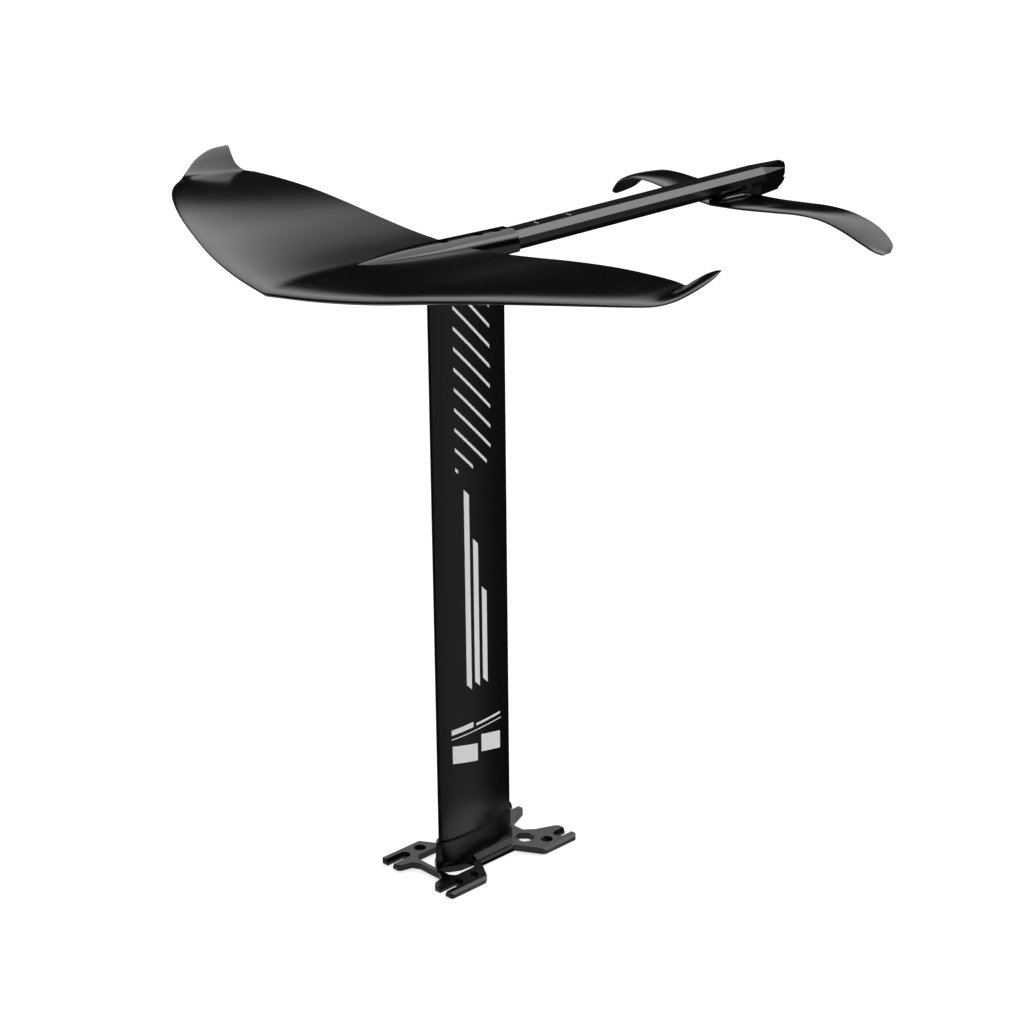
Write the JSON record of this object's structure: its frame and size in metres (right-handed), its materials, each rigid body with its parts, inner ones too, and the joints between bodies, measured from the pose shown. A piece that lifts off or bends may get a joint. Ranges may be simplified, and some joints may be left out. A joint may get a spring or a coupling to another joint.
{
  "type": "hydrofoil assembly",
  "caption": "Hydrofoil for a board: slotted base plate with a mast socket, streamlined mast, octagonal fuselage, upswept front wing and drooping rear stabilizer.",
  "frame": {"origin": "centre of the base plate's slot pattern, on the face that meets the board", "axes": "+Z from the board face along the mast to the wings, -Y to the nose of the foil, +Y to its tail, X along the span"},
  "size_m": [0.7782, 0.801, 0.7865],
  "materials": {
    "anodised": "satin black anodised",
    "mast_finish": "satin black with pale printed bars",
    "bare_alloy": "machined",
    "composite": "satin black composite",
    "steel": "stainless, brushed"
  },
  "bodies": {
    "root": {"base_plate": "anodised", "mast_profile": "mast_finish", "mast_foot_insert": "bare_alloy", "mast_head_insert": "bare_alloy", "mast_foot_screw_front": "steel", "mast_foot_screw_middle": "steel", "mast_foot_screw_rear": "steel", "fuselage": "anodised", "front_wing": "composite", "wing_bolt_front": "steel", "wing_bolt_washer_front": "steel", "wing_bolt_middle": "steel", "wing_bolt_washer_middle": "steel", "wing_bolt_rear": "steel", "wing_bolt_washer_rear": "steel", "wing_bolt_thread_insert": "steel", "rear_stabilizer": "composite", "stabilizer_screw_front": "steel", "stabilizer_thread_insert_front": "steel", "stabilizer_screw_rear": "steel", "stabilizer_thread_insert_rear": "steel"}
  },
  "joints": []
}
